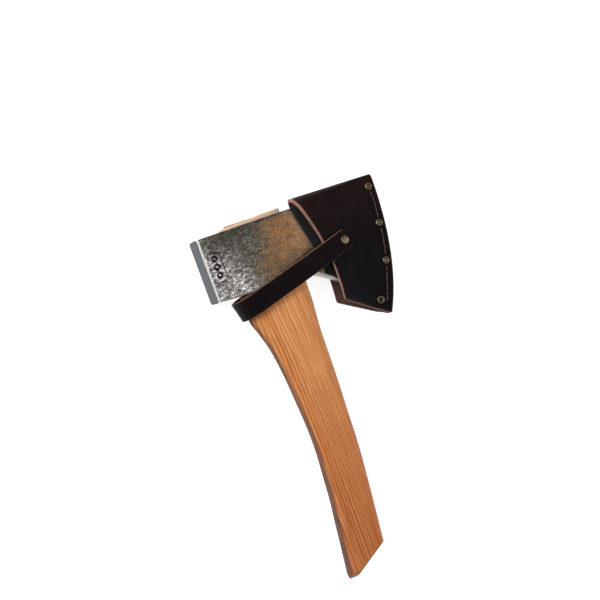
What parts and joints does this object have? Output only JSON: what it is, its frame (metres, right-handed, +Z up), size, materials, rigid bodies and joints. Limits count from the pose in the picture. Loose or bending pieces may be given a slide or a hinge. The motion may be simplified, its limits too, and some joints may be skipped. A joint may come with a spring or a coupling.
{
  "type": "hatchet",
  "caption": "Hatchet with a curved wooden handle and a folded leather blade sheath, held on by a strap round the handle with a press stud.",
  "frame": {"origin": "under the centre of the hatchet as it lies on its side, at its lowest point", "axes": "+X from the poll to the cutting edge, +Y from the handle's butt to the head's top, +Z up through the side that carries the strap rivet"},
  "size_m": [0.1562, 0.2944, 0.0336],
  "materials": {
    "forged_steel": "forged, patinated, ground at the poll and the edge",
    "oiled_wood": "oiled, semi-gloss",
    "wedge_wood": "raw",
    "wedge_steel": "plain",
    "dark_leather": "waxed, semi-gloss",
    "welt_leather": "raw edge",
    "waxed_thread": "waxed cord",
    "antique_bronze": "antiqued"
  },
  "bodies": {
    "hatchet": {"axe_head": "forged_steel", "handle": "oiled_wood", "wood_wedge": "wedge_wood", "steel_wedge": "wedge_steel"},
    "sheath": {"sheath_body": "dark_leather", "sheath_welt": "welt_leather", "seam_thread_front_1": "waxed_thread", "seam_thread_front_2": "waxed_thread", "seam_thread_front_3": "waxed_thread", "seam_thread_back_1": "waxed_thread", "seam_thread_back_2": "waxed_thread", "seam_thread_back_3": "waxed_thread", "edge_rivet_1": "antique_bronze", "edge_rivet_2": "antique_bronze", "edge_rivet_3": "antique_bronze", "edge_rivet_4": "antique_bronze", "edge_rivet_cap_1": "antique_bronze", "edge_rivet_cap_2": "antique_bronze", "edge_rivet_cap_3": "antique_bronze", "edge_rivet_cap_4": "antique_bronze", "strap_rivet": "antique_bronze", "strap_rivet_cap": "antique_bronze", "snap_stud": "antique_bronze", "snap_stud_flange": "antique_bronze", "strap_front_run": "dark_leather"},
    "strap_loop": {"strap_wrap": "dark_leather"},
    "strap_end": {"strap_tail": "dark_leather", "snap_socket": "antique_bronze", "snap_cap": "antique_bronze"}
  },
  "joints": [
    {"name": "sheath_slide", "type": "slide", "parent": "hatchet", "child": "sheath", "axis": [1, 0, 0], "range_m": [0, 0.0605]},
    {"name": "strap_unwrap", "type": "hinge", "parent": "sheath", "child": "strap_loop", "pos_m": [-0.05243, 0.08039, 0.0373], "axis": [-0.247, 0.969, 0], "range_deg": [0, 205]},
    {"name": "strap_tail_lift", "type": "hinge", "parent": "strap_loop", "child": "strap_end", "pos_m": [-0.04817, 0.08148, -0.0002], "axis": [-0.247, 0.969, 0], "range_deg": [0, 100]}
  ],
  "couplings": [
    {"joint": "strap_unwrap", "follows": "sheath_slide", "rad_per_m": 59}
  ]
}
